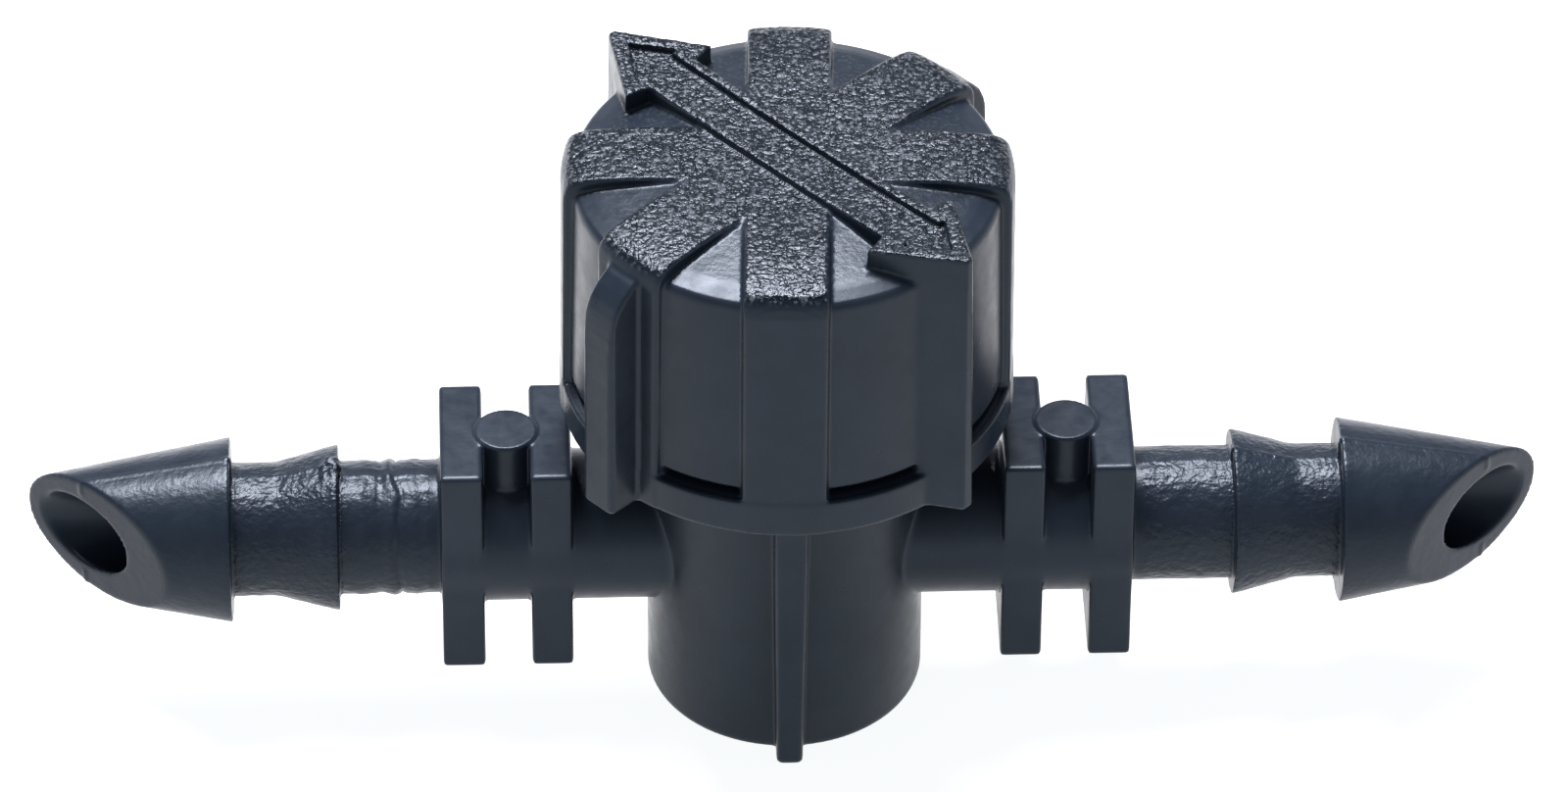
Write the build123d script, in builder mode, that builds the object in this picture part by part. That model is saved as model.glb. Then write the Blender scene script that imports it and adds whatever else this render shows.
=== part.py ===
from build123d import *
from math import cos, sin, radians, sqrt
import os

"""Barbed in-line shut-off valve for micro irrigation tube.

A moulded body carries two bevel-tipped barbed tails on one axis, a pair of square
wings and a round pad on each tail, and an upright barrel. A quarter-turn plug sits
in the barrel, sealed by an O-ring above and below the water way, and is driven by a
ribbed cap whose double-headed arrow lies along the plug's cross hole.

Frame: millimetres, +Z up, X along the tube, -Y the front, origin at the middle of
the barrel's base. The cap is drawn half open, its arrow near 45 degrees to the tube.
"""

os.makedirs("parts", exist_ok=True)

# ---------------------------------------------------------------- dimensions
TUBE_Z = 6.0            # height of the water way above the base

# tails, radii and stations measured from the middle along X
TAIL_R_IN = 2.46        # thick run between the barrel and the outer wing
TAIL_R = 2.18           # hose seat
BORE_R = 1.32           # water way
PORT_R = 1.55           # relief at the plug bore
PORT_X = 3.35
SHOULDER_X = 11.05      # thick run ends inside the outer wing
INNER_BARB_X = 14.55
INNER_BARB_R = 2.72
INNER_BARB_END_X = 16.60
TIP_BARB_X = 18.05
TIP_BARB_R = 3.00
TIP_X = 24.80
TIP_R = 1.80
CREST_LAND = 0.22       # flat on the tip barb's crest
INNER_LAND = 0.12
BEVEL_X0 = 22.90        # where the bevel plane crosses the tail's axis
BEVEL_SLOPE = 1.043     # axial travel of the bevel for each mm towards the back

# wings and pads
WING_Y = 2.40           # half depth
WING_UP = 3.98          # above the tube's axis
WING_DOWN = 4.06        # below it
WING_IN = (6.98, 8.32)
WING_OUT = (9.85, 11.23)
PAD_X = 9.08
PAD_R = 1.03
PAD_UP = 4.07

# barrel
BARREL_R = 4.50
BARREL_TOP = 12.0
NECK_R = 4.35
NECK_TOP = 17.2
PLUG_BORE_R = 3.00
PLUG_BORE_FLOOR = 1.40
COLLAR_R = 6.05
COLLAR_Z = (12.95, 13.75)
RIB_OUT = 5.30          # front rib's outer face, from the barrel's axis
RIB_W_LOW = 0.86
RIB_W_HIGH = 1.20

# cap
CAP_Z0 = 11.55          # skirt's lower edge
BAND_TOP = 12.85
BAND_R = 7.30
PANEL_R_LOW = 7.06
PANEL_R_HIGH = 6.91
RIM_Z = 20.56           # panel's upper edge
VALLEY_R = 6.20         # the valleys' slope steepens here, towards the rim
VALLEY_Z = 20.76
VALLEY_MID = (3.60, 21.14)
CROWN_MID_Z = 21.21     # the crown is slightly dished: lowest on the axis
CROWN_R = 4.60          # highest ring of the arms
CROWN_Z = 21.25
ARM_HALF = 1.36
ARM_R_LOW = 7.30
ARM_R_HIGH = 7.23
ARM_END_Z = 20.74
ARROW_MID_Z = 21.46     # the arrow's face is dished in the same way
ARROW_Z = 21.655        # at its two points
ARROW_RECESS = 0.24
ARROW_TIP_R = 8.12
ARROW_TIP_R_LOW = 8.30
ARROW_HALF = 1.07        # half width of its bar
ARROW_BARB_U = 5.43
ARROW_BARB_V = 1.93
ARROW_NOTCH_U = 5.22
FIN_HALF = 0.66
FIN_R = 8.42
SLOT_Z0 = 12.89
SLOT_H = 0.29
# middle angle and span of the window at the foot of each panel
WINDOWS = (
    (22.5, 21.4), (67.5, 21.4), (114.0, 24.6), (156.0, 24.6),
    (202.5, 21.4), (247.5, 21.4), (294.0, 24.6), (336.0, 24.6),
)
SKIRT_IN_R = 6.35
ROOF_Z = 19.60
HUB_R = 2.70
HUB_Z0 = 17.55
SOCKET = 2.84           # square socket across flats
SNAP_R = 5.75
STOP_R = 4.80
STOP_FROM = 53.0        # stop lug's near edge, degrees each side of the front rib
STOP_SPAN = 17.0

# plug
PLUG_R = 2.95
PLUG_Z0 = 1.60
PLUG_TOP = 16.9
WAIST_R = 2.10
WAIST_Z = (11.0, 15.2)
DRIVE = 2.80
DRIVE_TOP = 19.45
RING_Z_LOW = 2.95
RING_Z_HIGH = 9.35
RING_WIRE_R = 0.495
RING_MID_R = PLUG_BORE_R - 0.015 - RING_WIRE_R
GROOVE_W = 1.20
GROOVE_R = RING_MID_R - RING_WIRE_R - 0.01

ARROW_ANGLE = -45.0     # plan angle of the arrow in the cap's own axes
REST_TURN = -2.5        # the cap and plug stand turned this much, half open
ARROW_DIR = (cos(radians(ARROW_ANGLE)), sin(radians(ARROW_ANGLE)), 0)
ARROW_PLANE = Plane(origin=(0, 0, 0), x_dir=ARROW_DIR, z_dir=(0, 0, 1))
ACROSS = Plane(origin=(0, 0, 0), x_dir=(-ARROW_DIR[1], ARROW_DIR[0], 0), z_dir=ARROW_DIR)


def sector(r_in, r_out, mid, span):
    """Corner points of a ring sector, outside curves replaced by a coarse chord fan."""
    a0, a1 = mid - span / 2, mid + span / 2
    steps = 4
    outer = [
        (r_out * cos(radians(a0 + (a1 - a0) * i / steps)), r_out * sin(radians(a0 + (a1 - a0) * i / steps)))
        for i in range(steps + 1)
    ]
    inner = [
        (r_in * cos(radians(a1 - (a1 - a0) * i / steps)), r_in * sin(radians(a1 - (a1 - a0) * i / steps)))
        for i in range(steps + 1)
    ]
    return outer + inner


# ---------------------------------------------------------------- body moulding
with BuildPart() as valve_body:
    # barrel, neck and snap collar in one turned profile
    with BuildSketch(Plane.XZ):
        with BuildLine():
            Polyline(
                (0, 0),
                (BARREL_R - 0.25, 0),
                (BARREL_R, 0.25),
                (BARREL_R, BARREL_TOP),
                (NECK_R, BARREL_TOP + 0.15),
                (NECK_R, COLLAR_Z[0]),
                (COLLAR_R, COLLAR_Z[0]),
                (COLLAR_R, COLLAR_Z[0] + 0.35),
                (COLLAR_R - 0.45, COLLAR_Z[1]),
                (NECK_R, COLLAR_Z[1]),
                (NECK_R, NECK_TOP - 0.3),
                (NECK_R - 0.3, NECK_TOP),
                (0, NECK_TOP),
                close=True,
            )
        make_face()
    revolve(axis=Axis.Z)

    # front rib, narrower towards the base; its upper end is the stop for the cap
    with BuildSketch(Plane.XZ.offset(BARREL_R - 0.6)):
        with BuildLine():
            Polyline(
                (-RIB_W_LOW / 2, 0.0),
                (RIB_W_LOW / 2, 0.0),
                (RIB_W_HIGH / 2, COLLAR_Z[0] + 0.1),
                (-RIB_W_HIGH / 2, COLLAR_Z[0] + 0.1),
                close=True,
            )
        make_face()
    extrude(amount=RIB_OUT - BARREL_R + 0.6)

    # two tails: thick run, hose seat, two barbs
    with BuildSketch(Plane.XY.offset(TUBE_Z)):
        with BuildLine():
            Polyline(
                (3.4, 0),
                (3.4, TAIL_R_IN),
                (SHOULDER_X, TAIL_R_IN),
                (SHOULDER_X + 0.3, TAIL_R),
                (INNER_BARB_X, TAIL_R),
                (INNER_BARB_X, INNER_BARB_R),
                (INNER_BARB_X + INNER_LAND, INNER_BARB_R),
                (INNER_BARB_END_X, TAIL_R),
                (TIP_BARB_X, TAIL_R),
                (TIP_BARB_X, TIP_BARB_R),
                (TIP_BARB_X + CREST_LAND, TIP_BARB_R),
                (TIP_X, TIP_R),
                (TIP_X, 0),
                close=True,
            )
        make_face()
    revolve(axis=Axis((0, 0, TUBE_Z), (1, 0, 0)))
    with BuildSketch(Plane.XY.offset(TUBE_Z)):
        with BuildLine():
            Polyline(
                (-3.4, 0),
                (-3.4, TAIL_R_IN),
                (-SHOULDER_X, TAIL_R_IN),
                (-SHOULDER_X - 0.3, TAIL_R),
                (-INNER_BARB_X, TAIL_R),
                (-INNER_BARB_X, INNER_BARB_R),
                (-INNER_BARB_X - INNER_LAND, INNER_BARB_R),
                (-INNER_BARB_END_X, TAIL_R),
                (-TIP_BARB_X, TAIL_R),
                (-TIP_BARB_X, TIP_BARB_R),
                (-TIP_BARB_X - CREST_LAND, TIP_BARB_R),
                (-TIP_X, TIP_R),
                (-TIP_X, 0),
                close=True,
            )
        make_face()
    revolve(axis=Axis((0, 0, TUBE_Z), (1, 0, 0)))

    # square wings
    for side in (-1, 1):
        for near, far in (WING_IN, WING_OUT):
            with BuildSketch(Plane.YZ.offset(side * (near if side > 0 else near))):
                with Locations((0, TUBE_Z + (WING_UP - WING_DOWN) / 2)):
                    Rectangle(2 * WING_Y, WING_UP + WING_DOWN)
            extrude(amount=side * (far - near))

    # round pads between the wings
    with BuildSketch(Plane.XY.offset(TUBE_Z)):
        with Locations((-PAD_X, 0), (PAD_X, 0)):
            Circle(PAD_R)
    extrude(amount=PAD_UP)

    # plug bore, blind at the base
    with BuildSketch(Plane.XY.offset(PLUG_BORE_FLOOR)):
        Circle(PLUG_BORE_R)
    extrude(amount=NECK_TOP - PLUG_BORE_FLOOR + 1, mode=Mode.SUBTRACT)
    # lead-in at the neck's mouth
    with BuildSketch(Plane.XZ):
        with BuildLine():
            Polyline(
                (PLUG_BORE_R - 0.1, NECK_TOP - 0.35),
                (PLUG_BORE_R + 0.3, NECK_TOP + 0.05),
                (PLUG_BORE_R - 0.1, NECK_TOP + 0.05),
                close=True,
            )
        make_face()
    revolve(axis=Axis.Z, mode=Mode.SUBTRACT)

    # water way through both tails into the plug bore
    with BuildSketch(Plane.YZ.offset(-TIP_X - 1)):
        with Locations((0, TUBE_Z)):
            Circle(BORE_R)
    extrude(amount=2 * TIP_X + 2, mode=Mode.SUBTRACT)

    # port relief where the water way meets the plug bore
    with BuildSketch(Plane.YZ.offset(-PORT_X)):
        with Locations((0, TUBE_Z)):
            Circle(PORT_R)
    extrude(amount=2 * PORT_X, mode=Mode.SUBTRACT)

    # bevelled tips, cut face towards the front and the outside
    reach = 6.0
    with BuildSketch(Plane.XY.offset(TUBE_Z - 4)):
        for side in (-1, 1):
            with BuildLine():
                Polyline(
                    (side * (BEVEL_X0 - BEVEL_SLOPE * reach), -reach),
                    (side * (BEVEL_X0 + BEVEL_SLOPE * reach), reach),
                    (side * (BEVEL_X0 + BEVEL_SLOPE * reach), -reach),
                    close=True,
                )
            make_face()
    extrude(amount=8, mode=Mode.SUBTRACT)

valve_body.part.label = "valve_body"
export_step(valve_body.part, "parts/valve_body.step")


# ---------------------------------------------------------------- cap
# six arms under one crowned profile, none under the arrow
with BuildPart() as crown:
    with BuildSketch(Plane.XZ):
        with BuildLine():
            l1 = Line((0, CAP_Z0), (ARM_R_LOW, CAP_Z0))
            l2 = Line(l1 @ 1, (ARM_R_HIGH, ARM_END_Z - 0.12))
            l3 = Line(l2 @ 1, (ARM_R_HIGH - 0.12, ARM_END_Z + 0.03))
            l4 = ThreePointArc(l3 @ 1, (6.20, 21.14), (CROWN_R, CROWN_Z))
            l5 = ThreePointArc(
                l4 @ 1,
                (CROWN_R / 2, CROWN_MID_Z + (CROWN_Z - CROWN_MID_Z) / 4),
                (0, CROWN_MID_Z),
            )
            l6 = Line(l5 @ 1, (0, CAP_Z0))
        make_face()
    revolve(axis=Axis.Z)
    with BuildSketch(Plane.XY.offset(CAP_Z0)):
        for angle in (0, 45, 90):
            with Locations(Rotation(0, 0, angle)):
                Rectangle(20, 2 * ARM_HALF)
    extrude(amount=ARROW_Z - CAP_Z0, mode=Mode.INTERSECT)


# the shallow recess in the arrow's face; its floor follows the dish
with BuildPart() as recess:
    with BuildSketch(ARROW_PLANE.offset(CROWN_MID_Z - 0.3)):
        with BuildLine():
            Polyline(
                (7.30, 0), (6.05, 0.90), (6.03, 0.68), (-6.03, 0.68), (-6.05, 0.90), (-7.30, 0),
                (-6.05, -0.90), (-6.03, -0.68), (6.03, -0.68), (6.05, -0.90),
                close=True,
            )
        make_face()
    extrude(amount=1.2)
    with BuildSketch(Plane.XZ):
        with BuildLine():
            c1 = ThreePointArc(
                (0, ARROW_MID_Z - ARROW_RECESS),
                (4.1, ARROW_MID_Z - ARROW_RECESS + 0.049),
                (8.2, ARROW_Z - ARROW_RECESS),
            )
            Polyline(c1 @ 1, (8.2, CROWN_MID_Z - 1), (0, CROWN_MID_Z - 1), c1 @ 0)
        make_face()
    revolve(axis=Axis.Z, mode=Mode.SUBTRACT)


with BuildPart() as cap_square:
    # panels and valleys: the lowest skin of the cap
    with BuildSketch(Plane.XZ):
        with BuildLine():
            Polyline(
                (0, CAP_Z0),
                (PANEL_R_LOW, CAP_Z0),
                (PANEL_R_HIGH, RIM_Z - 0.12),
                (PANEL_R_HIGH - 0.14, RIM_Z + 0.03),
                (VALLEY_R, VALLEY_Z),
                VALLEY_MID,
                (0, VALLEY_MID[1]),
                close=True,
            )
        make_face()
    revolve(axis=Axis.Z)

    # lower band
    with BuildSketch(Plane.XY.offset(CAP_Z0)):
        Circle(BAND_R)
    extrude(amount=BAND_TOP - CAP_Z0)

    # the six arms
    add(crown.part)

    # double-headed arrow: a flat bar with pointed heads that run down the whole side
    u = ARROW_BARB_U
    v = ARROW_BARB_V
    n = ARROW_NOTCH_U
    h = ARROW_HALF
    t = ARROW_TIP_R
    outline = [
        (t, 0.16), (u, v), (n, h), (-n, h), (-u, v), (-t, 0.16),
        (-t, -0.16), (-u, -v), (-n, -h), (n, -h), (u, -v), (t, -0.16),
    ]
    foot = [(x * ARROW_TIP_R_LOW / t, y * 1.02) for x, y in outline]
    with BuildSketch(ARROW_PLANE.offset(ARROW_Z)):
        with BuildLine():
            Polyline(*outline, close=True)
        make_face()
    with BuildSketch(ARROW_PLANE.offset(CAP_Z0)):
        with BuildLine():
            Polyline(*foot, close=True)
        make_face()
    loft(ruled=True)

    # finger fins on the other diagonal
    for angle in (45, 225):
        c, s = cos(radians(angle)), sin(radians(angle))
        fin_plane = Plane(origin=(0, 0, 0), x_dir=(c, s, 0), z_dir=(s, -c, 0))
        with BuildSketch(fin_plane.offset(-FIN_HALF)):
            with BuildLine():
                f1 = Line((6.0, CAP_Z0), (FIN_R + 0.03, CAP_Z0))
                f2 = Line(f1 @ 1, (FIN_R, 18.1))
                f3 = ThreePointArc(f2 @ 1, (8.14, 19.75), (7.10, 20.58))
                f4 = Line(f3 @ 1, (6.0, 20.58))
                f5 = Line(f4 @ 1, (6.0, CAP_Z0))
            make_face()
        extrude(amount=2 * FIN_HALF)

    # dish of the arrow's face, then the recess in it
    with BuildSketch(Plane.XZ):
        with BuildLine():
            d1 = ThreePointArc((0, ARROW_MID_Z), (4.1, ARROW_MID_Z + 0.049), (8.2, ARROW_Z))
            Polyline(d1 @ 1, (9.2, ARROW_Z), (9.2, ARROW_Z + 1), (0, ARROW_Z + 1), d1 @ 0)
        make_face()
    revolve(axis=Axis.Z, mode=Mode.SUBTRACT)
    add(recess.part, mode=Mode.SUBTRACT)

    # inside of the cap
    with BuildSketch(Plane.XY.offset(CAP_Z0)):
        Circle(SKIRT_IN_R)
    extrude(amount=ROOF_Z - CAP_Z0, mode=Mode.SUBTRACT)
    with BuildSketch(Plane.XY.offset(HUB_Z0)):
        Circle(HUB_R)
    extrude(amount=ROOF_Z - HUB_Z0 + 0.2)
    with BuildSketch(ARROW_PLANE.offset(HUB_Z0 - 0.1)):
        Rectangle(SOCKET, SOCKET)
    extrude(amount=DRIVE_TOP + 0.1 - HUB_Z0 + 0.1, mode=Mode.SUBTRACT)

    # snap lugs, one under each window
    with BuildSketch(Plane.XY.offset(BAND_TOP - 0.75)):
        for mid, span in WINDOWS:
            with BuildLine():
                Polyline(*sector(SNAP_R, SKIRT_IN_R + 0.2, mid, span - 6), close=True)
            make_face()
    extrude(amount=0.75)
    # two stop lugs that meet the body's front rib at each end of the quarter turn
    with BuildSketch(Plane.XY.offset(CAP_Z0 + 0.2)):
        for mid in (-90 + STOP_FROM + STOP_SPAN / 2, -90 - STOP_FROM - STOP_SPAN / 2):
            with BuildLine():
                Polyline(*sector(STOP_R, SKIRT_IN_R + 0.2, mid, STOP_SPAN), close=True)
            make_face()
    extrude(amount=BAND_TOP - CAP_Z0 - 0.2)

    # eight windows at the foot of the panels, through the skirt
    with BuildSketch(Plane.XY.offset(SLOT_Z0)):
        for mid, span in WINDOWS:
            with BuildLine():
                Polyline(*sector(SKIRT_IN_R - 0.3, 7.9, mid, span), close=True)
            make_face()
    extrude(amount=SLOT_H, mode=Mode.SUBTRACT)

with BuildPart() as knob:
    add(cap_square.part, rotation=(0, 0, REST_TURN))

knob.part.label = "knob"
export_step(knob.part, "parts/knob.step")


# ---------------------------------------------------------------- plug
with BuildPart() as plug_square:
    with BuildSketch(Plane.XZ):
        with BuildLine():
            Polyline(
                (0, PLUG_Z0),
                (PLUG_R - 0.2, PLUG_Z0),
                (PLUG_R, PLUG_Z0 + 0.2),
                (PLUG_R, RING_Z_LOW - GROOVE_W / 2),
                (GROOVE_R, RING_Z_LOW - GROOVE_W / 2),
                (GROOVE_R, RING_Z_LOW + GROOVE_W / 2),
                (PLUG_R, RING_Z_LOW + GROOVE_W / 2),
                (PLUG_R, RING_Z_HIGH - GROOVE_W / 2),
                (GROOVE_R, RING_Z_HIGH - GROOVE_W / 2),
                (GROOVE_R, RING_Z_HIGH + GROOVE_W / 2),
                (PLUG_R, RING_Z_HIGH + GROOVE_W / 2),
                (PLUG_R, WAIST_Z[0]),
                (WAIST_R, WAIST_Z[0] + 0.4),
                (WAIST_R, WAIST_Z[1] - 0.4),
                (PLUG_R, WAIST_Z[1]),
                (PLUG_R, PLUG_TOP),
                (0, PLUG_TOP),
                close=True,
            )
        make_face()
    revolve(axis=Axis.Z)
    # square drive that enters the cap's socket
    with BuildSketch(ARROW_PLANE.offset(PLUG_TOP - 0.5)):
        Rectangle(DRIVE, DRIVE)
    extrude(amount=DRIVE_TOP - PLUG_TOP + 0.5)
    # cross hole along the arrow
    with BuildSketch(ACROSS.offset(-5)):
        with Locations((0, TUBE_Z)):
            Circle(BORE_R)
    extrude(amount=10, mode=Mode.SUBTRACT)

with BuildPart() as plug:
    add(plug_square.part, rotation=(0, 0, REST_TURN))

plug.part.label = "plug"
export_step(plug.part, "parts/plug.step")


# ---------------------------------------------------------------- O-rings
with BuildPart() as o_ring_lower:
    with BuildSketch(Plane.XZ):
        with Locations((RING_MID_R, RING_Z_LOW)):
            Circle(RING_WIRE_R)
    revolve(axis=Axis.Z)

o_ring_lower.part.label = "o_ring_lower"
export_step(o_ring_lower.part, "parts/o_ring_lower.step")

with BuildPart() as o_ring_upper:
    with BuildSketch(Plane.XZ):
        with Locations((RING_MID_R, RING_Z_HIGH)):
            Circle(RING_WIRE_R)
    revolve(axis=Axis.Z)

o_ring_upper.part.label = "o_ring_upper"
export_step(o_ring_upper.part, "parts/o_ring_upper.step")
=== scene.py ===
import math

import bpy
import numpy as np
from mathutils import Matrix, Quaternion, Vector


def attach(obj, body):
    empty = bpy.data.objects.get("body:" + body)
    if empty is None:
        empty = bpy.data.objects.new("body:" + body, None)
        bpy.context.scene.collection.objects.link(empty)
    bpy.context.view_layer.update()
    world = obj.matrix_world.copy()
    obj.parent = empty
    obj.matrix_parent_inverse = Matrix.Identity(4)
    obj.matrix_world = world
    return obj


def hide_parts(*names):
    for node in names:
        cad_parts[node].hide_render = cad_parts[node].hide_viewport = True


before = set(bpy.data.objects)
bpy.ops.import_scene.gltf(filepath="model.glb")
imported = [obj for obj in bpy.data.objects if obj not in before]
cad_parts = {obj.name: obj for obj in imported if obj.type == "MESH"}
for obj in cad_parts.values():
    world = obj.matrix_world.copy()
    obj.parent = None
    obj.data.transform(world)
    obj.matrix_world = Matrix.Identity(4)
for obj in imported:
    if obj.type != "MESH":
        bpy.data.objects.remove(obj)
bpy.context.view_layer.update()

MM = 0.001
f32 = np.float32

# ------------------------------------------------------------------ field helpers
# Each moulding is one continuous skin, drawn from a signed distance field in
# millimetres so that every edge gets the small radius and every inner corner the
# small fillet of a real moulding.


def smin(a, b, k):
    h = np.maximum(k - np.abs(a - b), 0) / k
    return np.minimum(a, b) - h * h * (k / 4)


def smax(a, b, k):
    h = np.maximum(k - np.abs(a - b), 0) / k
    return np.maximum(a, b) + h * h * (k / 4)


def polygon(x, y, pts):
    """Signed distance to a closed polygon, negative inside."""
    pts = np.asarray(pts, float)
    x, y = np.broadcast_arrays(x, y)
    d = np.full(x.shape, 1e9)
    inside = np.zeros(x.shape, bool)
    for (ax, ay), (bx, by) in zip(pts, np.roll(pts, -1, 0)):
        ex, ey = bx - ax, by - ay
        wx, wy = x - ax, y - ay
        t = np.clip((wx * ex + wy * ey) / (ex * ex + ey * ey), 0, 1)
        d = np.minimum(d, (wx - ex * t) ** 2 + (wy - ey * t) ** 2)
        crosses = (ay > y) != (by > y)
        with np.errstate(divide="ignore", invalid="ignore"):
            cut = (bx - ax) * (y - ay) / (by - ay) + ax
        inside ^= crosses & (x < cut)
    d = np.sqrt(d)
    return np.where(inside, -d, d).astype(f32)


def value_noise(p, cell, seed):
    """Smooth seeded noise of about -1..1 at points p (n, 3), one lump per cell."""
    q = p / cell
    i0 = np.floor(q).astype(np.int64)
    t = q - i0
    t = t * t * (3 - 2 * t)
    out = np.zeros(len(p))
    for dx in (0, 1):
        for dy in (0, 1):
            for dz in (0, 1):
                i = i0 + (dx, dy, dz)
                h = (i[:, 0] * 73856093) ^ (i[:, 1] * 19349663) ^ (i[:, 2] * 83492791) ^ (seed * 2654435761)
                h = (h ^ (h >> 13)) * 1274126177 & 0x7FFFFFFF
                v = (h ^ (h >> 16)) % 65536 / 32767.5 - 1
                w = (
                    (t[:, 0] if dx else 1 - t[:, 0])
                    * (t[:, 1] if dy else 1 - t[:, 1])
                    * (t[:, 2] if dz else 1 - t[:, 2])
                )
                out += v * w
    return out


def step(e0, e1, x):
    t = np.clip((x - e0) / (e1 - e0), 0, 1)
    return t * t * (3 - 2 * t)


def skin(field, xs, ys, zs):
    """Quads on the zero level of a field sampled on a box grid."""
    F = field
    nx, ny, nz = F.shape
    ins = F < 0
    n_in = np.zeros((nx - 1, ny - 1, nz - 1), np.int8)
    for a in (0, 1):
        for b in (0, 1):
            for c in (0, 1):
                n_in += ins[a : nx - 1 + a, b : ny - 1 + b, c : nz - 1 + c]
    act = (n_in > 0) & (n_in < 8)
    idx = np.full(act.shape, -1, np.int32)
    ci, cj, ck = np.nonzero(act)
    n = len(ci)
    idx[ci, cj, ck] = np.arange(n, dtype=np.int32)
    acc = np.zeros((n, 3))
    cnt = np.zeros(n)
    corners = [(a, b, c) for a in (0, 1) for b in (0, 1) for c in (0, 1)]
    for a in corners:
        for ax in range(3):
            if a[ax]:
                continue
            b = list(a)
            b[ax] = 1
            fa = F[ci + a[0], cj + a[1], ck + a[2]]
            fb = F[ci + b[0], cj + b[1], ck + b[2]]
            m = (fa < 0) != (fb < 0)
            t = fa[m] / (fa[m] - fb[m])
            p = np.tile(np.array(a, float), (m.sum(), 1))
            p[:, ax] += t
            acc[m] += p
            cnt[m] += 1
    acc /= cnt[:, None]
    v = np.empty((n, 3))
    for k, (c, grid) in enumerate(((ci, xs), (cj, ys), (ck, zs))):
        v[:, k] = grid[c] + acc[:, k] * (grid[c + 1] - grid[c])
    quads = []
    for ax in range(3):
        o = [(0, 1, 0), (0, 0, 1)] if ax == 0 else [(0, 0, 1), (1, 0, 0)] if ax == 1 else [(1, 0, 0), (0, 1, 0)]
        sl0 = [slice(1, s - 1) for s in F.shape]
        sl1 = [slice(1, s - 1) for s in F.shape]
        sl0[ax] = slice(0, F.shape[ax] - 1)
        sl1[ax] = slice(1, F.shape[ax])
        s0, s1 = ins[tuple(sl0)], ins[tuple(sl1)]
        change = s0 != s1
        base = np.array([g.start for g in sl0])
        i, j, k = np.nonzero(change)
        flip = ~s0[i, j, k]
        p = np.stack([i, j, k], 1) + base
        q00 = p - o[0] - o[1]
        q10 = p - o[1]
        q11 = p
        q01 = p - o[0]
        q = np.stack([idx[tuple(c.T)] for c in (q00, q10, q11, q01)], 1)
        q[flip] = q[flip][:, ::-1]
        quads.append(q)
    quads = np.concatenate(quads)
    return v, quads[(quads >= 0).all(1)]


def normals(v, quads):
    d1 = v[quads[:, 2]] - v[quads[:, 0]]
    d2 = v[quads[:, 3]] - v[quads[:, 1]]
    fn = np.cross(d1, d2)
    out = np.zeros_like(v)
    for c in range(4):
        for k in range(3):
            out[:, k] += np.bincount(quads[:, c], fn[:, k], len(v))
    return out / np.maximum(np.linalg.norm(out, axis=1), 1e-12)[:, None]


def make_mesh(name, v, quads, attrs=None):
    me = bpy.data.meshes.new(name)
    me.vertices.add(len(v))
    me.vertices.foreach_set("co", (v * MM).astype(f32).ravel())
    me.loops.add(quads.size)
    me.loops.foreach_set("vertex_index", quads.astype(np.int32).ravel())
    me.polygons.add(len(quads))
    me.polygons.foreach_set("loop_start", np.arange(0, quads.size, 4, dtype=np.int32))
    me.update(calc_edges=True)
    me.polygons.foreach_set("use_smooth", np.ones(len(quads), bool))
    for key, val in (attrs or {}).items():
        a = me.attributes.new(key, "FLOAT", "POINT")
        a.data.foreach_set("value", val.astype(f32))
    me.validate()
    ob = bpy.data.objects.new(name, me)
    bpy.context.scene.collection.objects.link(ob)
    return ob


def axis_grid(lo, hi, h):
    n = int(math.ceil((hi - lo) / h)) + 1
    return (lo + np.arange(n) * h).astype(f32)


# ------------------------------------------------------------------ cap
CAP_Z0, BAND_TOP, BAND_R = 11.55, 12.85, 7.30
RIM_Z, ARROW_MID_Z, ARROW_Z = 20.56, 21.46, 21.655
ARM_HALF = 1.36
SLOT_Z0, SLOT_H = 12.89, 0.29
REST_TURN = -2.5                    # degrees
WINDOWS = (
    (22.5, 21.4), (67.5, 21.4), (114.0, 24.6), (156.0, 24.6),
    (202.5, 21.4), (247.5, 21.4), (294.0, 24.6), (336.0, 24.6),
)
ARROW = [
    (8.12, 0.13), (5.43, 1.93), (5.22, 1.07), (-5.22, 1.07), (-5.43, 1.93), (-8.12, 0.13),
    (-8.12, -0.13), (-5.43, -1.93), (-5.22, -1.07), (5.22, -1.07), (5.43, -1.93), (8.12, -0.13),
]
POCKET = [
    (7.30, 0), (6.05, 0.90), (6.03, 0.68), (-6.03, 0.68), (-6.05, 0.90), (-7.30, 0),
    (-6.05, -0.90), (-6.03, -0.68), (6.03, -0.68), (6.05, -0.90),
]
VALLEY = np.array([(0, 21.14), (3.6, 21.14), (4.1, 21.09), (6.1, 20.78), (6.3, 20.73), (6.77, 20.57), (7.4, 20.1)])
CROWN = np.array([
    (0, 21.21), (2.0, 21.22), (4.0, 21.25), (4.6, 21.255), (5.3, 21.235), (6.0, 21.18), (6.5, 21.12),
    (6.85, 21.02), (7.05, 20.88), (7.16, 20.72), (7.22, 20.5), (7.6, 19.6),
])
FIN_TOP = np.array([(6.0, 21.0), (7.1, 20.60), (7.45, 20.40), (7.8, 20.12), (8.08, 19.80), (8.27, 19.38), (8.38, 18.8), (8.44, 18.1), (8.6, 16.2)])


def diagonal(x, y):
    u = (x - y) / math.sqrt(2)      # along the arrow
    t = (x + y) / math.sqrt(2)      # across it, along the fins
    return u, t


def arms_plan(x, y):
    u, t = diagonal(x, y)
    d = smin(np.abs(y), np.abs(x), 0.25)
    return smin(d, np.abs(u), 0.25) - ARM_HALF


def sector_gap(x, y, spans):
    """Distance-like value, negative between the ends of any of the spans."""
    a = np.degrees(np.arctan2(y, x))
    r = np.hypot(x, y)
    best = np.full(a.shape, 1e9)
    for mid, span in spans:
        off = np.abs((a - mid + 180) % 360 - 180) - span / 2
        best = np.minimum(best, off)
    return (np.radians(best) * r).astype(f32)


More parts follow.
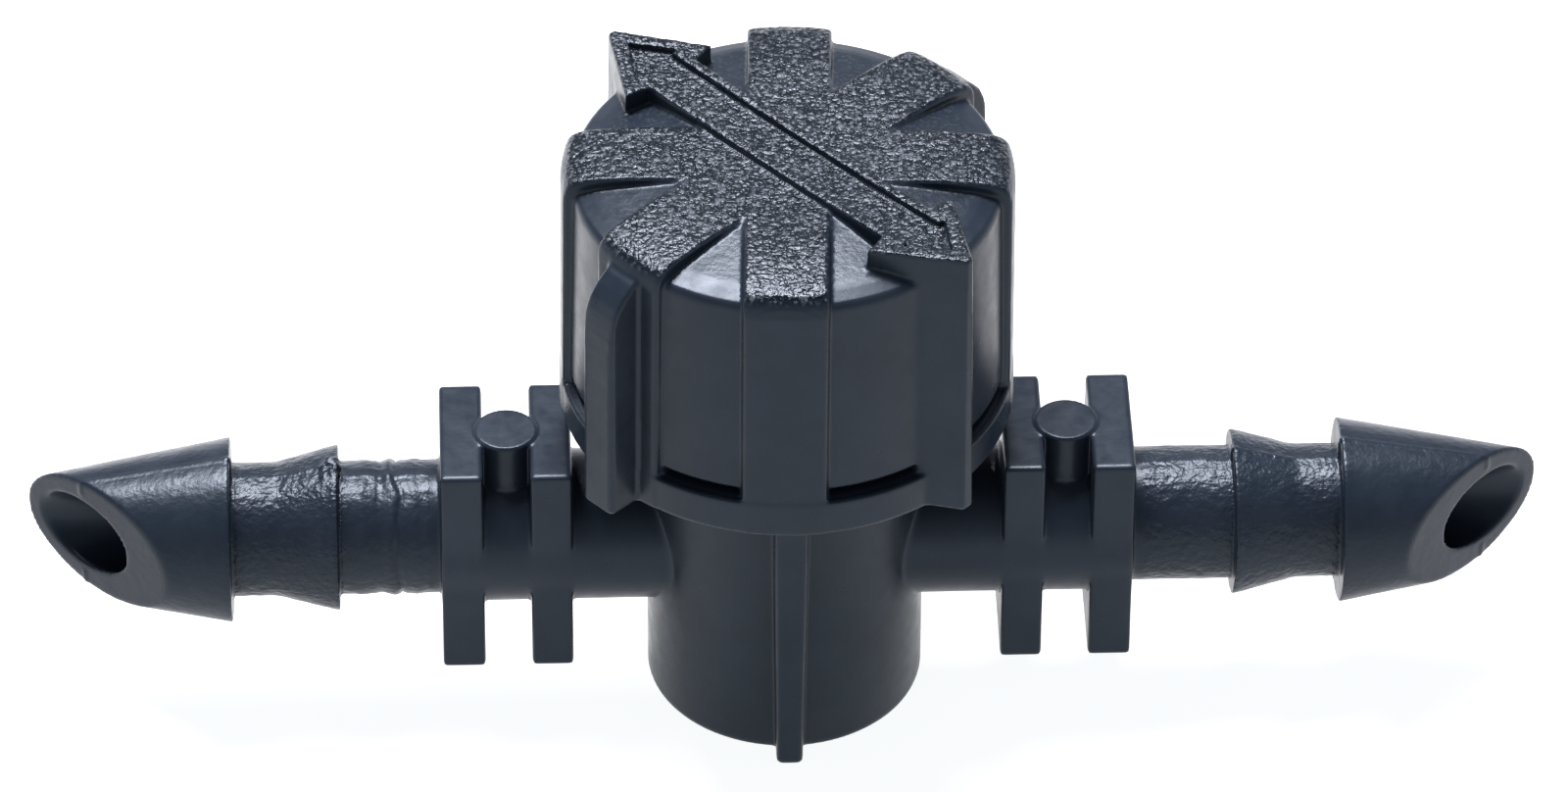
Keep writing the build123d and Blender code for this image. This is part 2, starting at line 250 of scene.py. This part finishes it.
def cap_field(x, y, z):
    X, Y, Z = x[:, None, None], y[None, :, None], z[None, None, :]
    r = np.hypot(X, Y)
    u, t = diagonal(X, Y)
    low = (Z - CAP_Z0) / (RIM_Z - CAP_Z0)

    # panels and valleys
    top = np.interp(r, VALLEY[:, 0], VALLEY[:, 1]).astype(f32)
    F = smax(r - (7.06 - 0.15 * low), (Z - top) * f32(0.95), 0.16)
    # band at the foot
    F = smin(F, smax(r - BAND_R, Z - BAND_TOP, 0.12), 0.08)
    # arms
    crown = np.interp(r, CROWN[:, 0], CROWN[:, 1]).astype(f32)
    arm = smax(arms_plan(X, Y), r - (7.30 - 0.07 * low), 0.16)
    arm = smax(arm, (Z - crown) * f32(0.95), 0.14)
    F = smin(F, arm, 0.10)
    # fins
    fin = smax(np.abs(u) - 0.66, np.abs(t) - (8.45 - 0.03 * low), 0.22)
    fin_top = np.interp(np.abs(t), FIN_TOP[:, 0], FIN_TOP[:, 1]).astype(f32)
    fin = smax(fin, (Z - fin_top) * f32(0.7), 0.16)
    F = smin(F, fin, 0.14)
    # arrow and its two columns
    plan = polygon(u, t, ARROW)
    arrow_top = (ARROW_MID_Z + 0.0029 * r * r).astype(f32)
    arrow = smax(plan - 0.13 * (1 - low), Z - arrow_top, 0.10)
    F = smin(F, arrow, 0.10)
    pocket = smax(polygon(u, t, POCKET), (arrow_top - 0.24) - Z, 0.06)
    F = smax(F, -pocket, 0.07)
    # lower edge
    F = smax(F, CAP_Z0 - Z, 0.12)
    # hollow with hub
    hollow = smax(r - 6.35, Z - 19.6, 0.4)
    hub = smax(r - 2.70, 17.55 - Z, 0.1)
    hub = np.maximum(hub, -np.maximum(np.maximum(np.abs(u), np.abs(t)) - 1.42, Z - 19.55))
    hollow = smax(hollow, -hub, 0.15)
    F = smax(F, -hollow, 0.10)
    # snap lugs and stop lugs
    lug = np.maximum(sector_gap(X, Y, [(m, s - 6) for m, s in WINDOWS]), 5.75 - r)
    lug = smax(lug, np.abs(Z - (BAND_TOP - 0.375)) - 0.375, 0.1)
    lug = np.maximum(lug, r - 6.6)
    F = smin(F, lug, 0.06)
    stop = np.maximum(sector_gap(X, Y, [(-28.5, 17), (-151.5, 17)]), 4.8 - r)
    stop = smax(stop, np.abs(Z - 12.3) - 0.55, 0.1)
    stop = np.maximum(stop, r - 6.6)
    F = smin(F, stop, 0.06)
    # windows
    win = np.maximum(sector_gap(X, Y, WINDOWS), np.abs(Z - (SLOT_Z0 + SLOT_H / 2)) - SLOT_H / 2)
    win = np.maximum(win, 6.05 - r)
    F = smax(F, -win, 0.06)
    return F.astype(f32)


H_CAP = 0.066
gx = axis_grid(-7.55, 7.6, H_CAP)
gz = axis_grid(CAP_Z0 - 2 * H_CAP - 0.013, ARROW_Z + 0.2, H_CAP)
v, q = skin(cap_field(gx, gx, gz), gx, gx, gz)
n = normals(v, q)
x, y, z = v.T
r = np.hypot(x, y)
crown = np.interp(r, CROWN[:, 0], CROWN[:, 1])
u, t = diagonal(x, y)
# mask of the eroded grain on the arm and arrow tops: it drives the grain's relief here and, in the cap material,
# its painted glints and painted shade
on_arm = step(-0.02, -0.14, arms_plan(x, y)) * step(0.32, 0.12, crown - z)
on_arrow = step(0.02, -0.08, polygon(u, t, ARROW)) * (z > ARROW_MID_Z + 0.0029 * r * r - 0.30)
up = step(0.42, 0.78, n[:, 2])
grain_glint_mask = np.clip(np.maximum(on_arm, on_arrow), 0, 1) * up * step(7.24, 6.90, r * (on_arrow < 0.5))
grain_glint_mask = np.maximum(grain_glint_mask, 0.16 * up * step(6.25, 5.9, r) * (z > 20.6))
lump = value_noise(v, 0.15, 3) * 0.65 + value_noise(v + 5.0, 0.085, 4) * 0.5
soft = value_noise(v, 1.3, 5) * 0.6 + value_noise(v, 0.55, 6) * 0.4
v = v + n * ((grain_glint_mask * lump * 0.020) + (1 - grain_glint_mask) * soft * 0.006)[:, None]
ca, sa = math.cos(math.radians(REST_TURN)), math.sin(math.radians(REST_TURN))
v = np.stack([v[:, 0] * ca - v[:, 1] * sa, v[:, 0] * sa + v[:, 1] * ca, v[:, 2]], 1)
cap = make_mesh("cap_moulding", v, q, {"grain_glint_mask": grain_glint_mask})
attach(cap, "cap")
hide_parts("knob")

# ------------------------------------------------------------------ body
TUBE_Z = 6.0


def body_field(x, y, z):
    X, Y, Z = x[:, None, None], y[None, :, None], z[None, None, :]
    ax = np.abs(X)
    zt = Z - TUBE_Z
    rt = np.hypot(Y, zt)
    r = np.hypot(X, Y)

    # tails
    F = smax(rt - 2.18, ax - 18.4, 0.05)
    F = smin(F, smax(rt - 2.46, ax - 11.2, 0.08), 0.10)
    cone = (rt - (2.72 - (ax - 14.55) * 0.2634)) * f32(0.967)
    cone = smax(cone, 14.55 - ax, 0.07)
    F = smin(F, np.maximum(cone, ax - 16.7), 0.05)
    tip = (rt - (3.02 - (ax - 18.05) * 0.1845)) * f32(0.983)
    tip = smax(smax(tip, 18.05 - ax, 0.07), ax - 24.8, 0.10)
    F = smin(F, tip, 0.05)
    # wings
    wing_yz = smax(np.abs(Y) - 2.40, np.abs(zt + 0.04) - 4.02, 0.16)
    wing_x = np.minimum(np.abs(ax - 7.65) - 0.67, np.abs(ax - 10.54) - 0.69)
    F = smin(F, smax(wing_yz, wing_x, 0.12), 0.10)
    # pads
    pad = smax(np.hypot(ax - 9.08, Y) - 1.03, np.maximum(zt - 4.07, -zt), 0.08)
    F = smin(F, pad, 0.07)
    # barrel, neck and collar
    barrel = smax(smax(r - 4.5, -Z, 0.22), Z - 12.1, 0.10)
    F = smin(F, barrel, 0.16)
    neck = smax(r - 4.35, Z - 17.2, 0.2)
    collar = smax(smax(r - 6.05, 12.95 - Z, 0.08), (r - 6.05 + (Z - 13.3) * 1.1) * f32(0.67), 0.08)
    collar = np.maximum(collar, Z - 13.75)
    F = smin(F, smin(np.maximum(neck, 6.0 - Z), collar, 0.08), 0.08)
    # front rib
    half = 0.43 + 0.17 * (Z / 13.0)
    rib = smax(np.abs(X) - half, -5.30 - Y, 0.22)
    rib = smax(np.maximum(rib, Y + 3.6), np.abs(Z - 6.5) - 6.5, 0.14)
    F = smin(F, rib, 0.12)
    # plug bore, water way and bevelled tips
    F = smax(F, -np.maximum(r - 3.0, 1.4 - Z), 0.12)
    F = smax(F, -(rt - 1.32), 0.10)
    F = smax(F, -np.maximum(rt - 1.55, ax - 3.35), 0.1)
    F = smax(F, (ax - 22.90 - 1.043 * Y) * f32(0.692), 0.10)
    return F.astype(f32)


H_BODY = 0.08
gx = axis_grid(-24.8 - 2 * H_BODY, 24.8 + 3 * H_BODY, H_BODY)
gy = axis_grid(-6.05 - 2 * H_BODY - 0.017, 6.05 + 3 * H_BODY, H_BODY)
gz = axis_grid(-2 * H_BODY - 0.011, 17.2 + 3 * H_BODY, H_BODY)
v, q = skin(body_field(gx, gy, gz), gx, gy, gz)
n = normals(v, q)
x, y, z = v.T
ax = np.abs(x)
rt = np.hypot(y, z - TUBE_Z)
tail = step(11.3, 11.6, ax) * (rt > 1.5)
seat = step(11.4, 11.8, ax) * step(18.1, 17.8, ax) * (rt > 1.6)
# uneven shrinkage along the tails, faint tool rings on the left seat, and a little
# flash where the mould halves met along the tails' top and bottom
sink = value_noise(v, 0.60, 11) * 0.40 + value_noise(v, 0.30, 12) * 0.40 + value_noise(v, 0.17, 16) * 0.35
rings = np.zeros(len(v))
for xc, w, a in ((-13.75, 0.16, 0.036), (-13.20, 0.12, -0.045), (-12.86, 0.13, 0.055), (-12.62, 0.07, -0.06), (-12.10, 0.15, 0.03)):
    wobble = 0.16 * value_noise(v, 0.9, 13)
    rings += a * np.exp(-(((x - xc + wobble) / w) ** 2))
flash = np.exp(-((y / 0.07) ** 2)) * step(11.4, 12.0, ax) * (rt > 1.6) * 0.030
crest = np.exp(-(((ax - 18.10) / 0.10) ** 2)) + np.exp(-(((ax - 14.60) / 0.09) ** 2))
flash += np.exp(-((y / 0.11) ** 2)) * crest * 0.055 * (z > TUBE_Z) * (rt > 2)
# a ragged burr on top of the left inner barb
ragged = 0.35 + np.maximum(value_noise(v, 0.16, 17), -0.35) * 0.9
burr = np.exp(-(((x + 14.78) / 0.24) ** 2 + ((y - 0.02) / 0.34) ** 2)) * (z > TUBE_Z + 1.5) * 0.22 * ragged
burr += np.exp(-(((x + 15.15) / 0.16) ** 2 + ((y + 0.55) / 0.30) ** 2)) * (z > TUBE_Z + 1.5) * 0.10 * value_noise(v, 0.14, 18)
soft = value_noise(v, 1.5, 14) * 0.6 + value_noise(v, 0.7, 15) * 0.4
move = seat * sink * 0.020 + seat * rings * (rt > 2) + flash + burr + soft * 0.006 + (tail - seat) * np.clip(sink, -1, 1) * 0.006
move *= rt > 1.3
v = v + n * move[:, None]
v[:, 2] = np.maximum(v[:, 2], 0.0)
radial = (n[:, 1] * y + n[:, 2] * (z - TUBE_Z)) / np.maximum(rt, 0.1)
ringed = step(-14.4, -14.2, x) * step(-11.6, -11.8, x)
tooth = np.maximum(seat * (1 - 0.45 * ringed), 0.30 * tail) * (rt > 1.6) * step(0.80, 0.92, radial)
body = make_mesh("body_moulding", v, q, {"tooth": tooth})
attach(body, "body")
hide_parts("valve_body")


# ------------------------------------------------------------------ materials
def new_material(name, base, rough, spec=0.5):
    m = bpy.data.materials.new(name)
    m.use_nodes = True
    nt = m.node_tree
    p = nt.nodes["Principled BSDF"]
    p.inputs["Base Color"].default_value = (*base, 1)
    p.inputs["Roughness"].default_value = rough
    p.inputs["Specular IOR Level"].default_value = spec
    p.inputs["IOR"].default_value = 1.50
    return m, nt, p


def cool_gloss(p):
    p.inputs["Specular Tint"].default_value = (0.76, 0.88, 1.0, 1)


def noise(nt, coord, scale, detail=2.0, rough=0.5):
    nd = nt.nodes.new("ShaderNodeTexNoise")
    nd.inputs["Scale"].default_value = scale
    nd.inputs["Detail"].default_value = detail
    nd.inputs["Roughness"].default_value = rough
    nt.links.new(coord, nd.inputs["Vector"])
    return nd.outputs["Fac"]


def ramp(nt, fac, stops):
    r = nt.nodes.new("ShaderNodeValToRGB")
    el = r.color_ramp.elements
    el[0].position, el[0].color = stops[0][0], (*stops[0][1], 1)
    el[1].position, el[1].color = stops[-1][0], (*stops[-1][1], 1)
    for pos, col in stops[1:-1]:
        e = el.new(pos)
        e.color = (*col, 1)
    nt.links.new(fac, r.inputs["Fac"])
    return r.outputs["Color"]


def math_node(nt, op, a, b, c=None):
    m = nt.nodes.new("ShaderNodeMath")
    m.operation = op
    for i, val in enumerate((a, b, c)):
        if val is None:
            continue
        if isinstance(val, (int, float)):
            m.inputs[i].default_value = val
        else:
            nt.links.new(val, m.inputs[i])
    return m.outputs[0]


def mapr(nt, fac, a, b, c, d):
    m = nt.nodes.new("ShaderNodeMapRange")
    for i, val in enumerate((a, b, c, d)):
        m.inputs[i + 1].default_value = val
    nt.links.new(fac, m.inputs[0])
    return m.outputs[0]


def bump(nt, height, distance, strength, prev=None):
    b = nt.nodes.new("ShaderNodeBump")
    b.inputs["Distance"].default_value = distance
    b.inputs["Strength"].default_value = strength
    nt.links.new(height, b.inputs["Height"])
    if prev is not None:
        nt.links.new(prev, b.inputs["Normal"])
    return b.outputs["Normal"]


def plastic(name, mask=None, paint_glints=True):
    """Black polyolefin: blue-grey cast, cloudy gloss, fine moulded tooth; on request, bright and dark specks in
    the masked grain's colour paint glints and shade.
    """
    m, nt, p = new_material(name, (0.0090, 0.0140, 0.0225), 0.34, 0.25)
    cool_gloss(p)
    co = nt.nodes.new("ShaderNodeTexCoord").outputs["Object"]
    cloud = noise(nt, co, 420, 3, 0.6)
    col = ramp(nt, cloud, [(0.32, (0.0075, 0.0116, 0.0190)), (0.5, (0.0090, 0.0140, 0.0222)), (0.68, (0.0112, 0.0168, 0.0258))])
    fine = noise(nt, co, 5200, 2, 0.5)
    mottle = noise(nt, co, 1500, 3, 0.6)
    rough = mapr(nt, mottle, 0.3, 0.7, 0.27, 0.38)
    nrm = bump(nt, mottle, 0.000010, 0.5)
    nrm = bump(nt, fine, 0.000004, 0.5, nrm)
    if mask:
        at = nt.nodes.new("ShaderNodeAttribute")
        at.attribute_name = mask
        g = at.outputs["Fac"]
        speck = noise(nt, co, 6800 if paint_glints else 4600, 1, 0.5)
        speck2 = noise(nt, co, 13500, 1, 0.5)
        both = math_node(nt, "MULTIPLY_ADD", speck2, 0.25, speck)
        h = math_node(nt, "MULTIPLY", both, g)
        nrm = bump(nt, h, 0.000045, 1.0, nrm)
    # painted glints and painted shade: bright specks in the grain's base colour stand in for sparkle highlights,
    # dark ones for shade in the eroded tooth
    if mask and paint_glints:
        painted_glints_and_shade = ramp(nt, both, [(0.56, (0.0020, 0.0035, 0.0060)), (0.66, (0.006, 0.010, 0.015)), (0.84, (0.072, 0.083, 0.096))])
        mix = nt.nodes.new("ShaderNodeMix")
        mix.data_type = "RGBA"
        nt.links.new(g, mix.inputs["Factor"])
        nt.links.new(col, mix.inputs["A"])
        nt.links.new(painted_glints_and_shade, mix.inputs["B"])
        col = mix.outputs["Result"]
        rough = math_node(nt, "MULTIPLY_ADD", g, -0.06, rough)
    nt.links.new(col, p.inputs["Base Color"])
    nt.links.new(rough, p.inputs["Roughness"])
    nt.links.new(nrm, p.inputs["Normal"])
    return m


mat_cap = plastic("cap_plastic", "grain_glint_mask")
mat_body = plastic("body_plastic", "tooth", paint_glints=False)
cap.data.materials.append(mat_cap)
body.data.materials.append(mat_body)


def inner_material(name, base, rough, scale):
    m, nt, p = new_material(name, base, rough)
    co = nt.nodes.new("ShaderNodeTexCoord").outputs["Object"]
    fac = noise(nt, co, scale, 3, 0.6)
    col = ramp(nt, fac, [(0.3, tuple(c * 0.75 for c in base)), (0.7, tuple(c * 1.3 for c in base))])
    nt.links.new(col, p.inputs["Base Color"])
    nt.links.new(mapr(nt, fac, 0.3, 0.7, rough - 0.06, rough + 0.06), p.inputs["Roughness"])
    nt.links.new(bump(nt, fac, 0.00001, 0.4), p.inputs["Normal"])
    return m


mat_plug = inner_material("plug_plastic", (0.03, 0.032, 0.035), 0.24, 900)
mat_ring = inner_material("seal_rubber", (0.012, 0.012, 0.012), 0.48, 2200)
for node, mat in (("plug", mat_plug), ("o_ring_lower", mat_ring), ("o_ring_upper", mat_ring)):
    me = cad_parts[node].data
    me.materials.clear()
    me.materials.append(mat)

# ------------------------------------------------------------------ floor, light, camera
bpy.ops.mesh.primitive_plane_add(size=6.0, location=(0, 0, -0.00002))
floor = bpy.context.object
floor.name = "floor"
m, nt, p = new_material("floor_white", (0.22, 0.22, 0.223), 0.8, 0.0)
p.inputs["Emission Color"].default_value = (0.965, 0.985, 1.0, 1)
# the floor glows from its own emission, not from lamps: brighter behind the object than in front of it, and less
# so behind its right side, which lights the object unevenly
place = nt.nodes.new("ShaderNodeSeparateXYZ")
nt.links.new(nt.nodes.new("ShaderNodeTexCoord").outputs["Object"], place.inputs[0])
glow = mapr(nt, place.outputs["Y"], -0.002, 0.014, 0.94, 1.7)
side = mapr(nt, place.outputs["X"], 0.000, 0.012, 1.0, 0.62)
both = nt.nodes.new("ShaderNodeMath")
both.operation = "MULTIPLY"
nt.links.new(glow, both.inputs[0])
nt.links.new(side, both.inputs[1])
least = nt.nodes.new("ShaderNodeMath")
least.operation = "MAXIMUM"
nt.links.new(both.outputs[0], least.inputs[0])
nt.links.new(mapr(nt, place.outputs["X"], 0.000, 0.012, 0.94, 0.94), least.inputs[1])
nt.links.new(least.outputs[0], p.inputs["Emission Strength"])
floor.data.materials.append(m)

world = bpy.data.worlds.new("studio") if not bpy.context.scene.world else bpy.context.scene.world
bpy.context.scene.world = world
world.use_nodes = True
wt = world.node_tree
bg = wt.nodes["Background"]
sky = wt.nodes.new("ShaderNodeSeparateXYZ")
wt.links.new(wt.nodes.new("ShaderNodeTexCoord").outputs["Generated"], sky.inputs[0])
lift = ramp(wt, sky.outputs["Z"], [(0.0, (1.40, 1.38, 1.50)), (0.12, (0.90, 0.90, 0.96)), (0.30, (0.56, 0.57, 0.62)), (0.6, (0.26, 0.27, 0.30)), (0.9, (0.22, 0.23, 0.25))])
wt.links.new(lift, bg.inputs["Color"])
bg.inputs["Strength"].default_value = 0.9


def area(name, loc, target, size, size_y, power, colour=(1, 1, 1)):
    d = bpy.data.lights.new(name, "AREA")
    d.shape = "RECTANGLE"
    d.size, d.size_y = size, size_y
    d.energy = power
    d.color = colour
    ob = bpy.data.objects.new(name, d)
    ob.location = loc
    ob.rotation_mode = "QUATERNION"
    ob.rotation_quaternion = (Vector(target) - Vector(loc)).to_track_quat("-Z", "Y")
    bpy.context.scene.collection.objects.link(ob)
    return ob


def on_arc(az, el, dist):
    a, e = math.radians(az), math.radians(el)
    return (math.sin(a) * math.cos(e) * dist, -math.cos(a) * math.cos(e) * dist, math.sin(e) * dist)


area("overhead", on_arc(196, 69, 0.60), (0, 0, 0.012), 0.34, 0.19, 10.8, (1.0, 0.95, 0.985))

az, el, roll, dist = math.radians(-2.3), math.radians(40.0), math.radians(-0.45), 0.320
back = Vector((math.sin(az) * math.cos(el), -math.cos(az) * math.cos(el), math.sin(el)))
right = Vector((math.cos(az), math.sin(az), 0))
over = back.cross(right)
P = (Vector((0, 0, 6)) + right * -0.07 + over * 4.02) * MM
cd = bpy.data.cameras.new("cam")
cd.sensor_width = 36.0
cd.lens = 225.0
cd.clip_start, cd.clip_end = 0.01, 20.0
cam = bpy.data.objects.new("cam", cd)
cam.location = P + back * dist
cam.rotation_mode = "QUATERNION"
cam.rotation_quaternion = (-back).to_track_quat("-Z", "Y") @ Quaternion((0, 0, 1), -roll)
bpy.context.scene.collection.objects.link(cam)
bpy.context.scene.camera = cam

sc = bpy.context.scene
sc.view_settings.view_transform = "Standard"
sc.view_settings.look = "None"
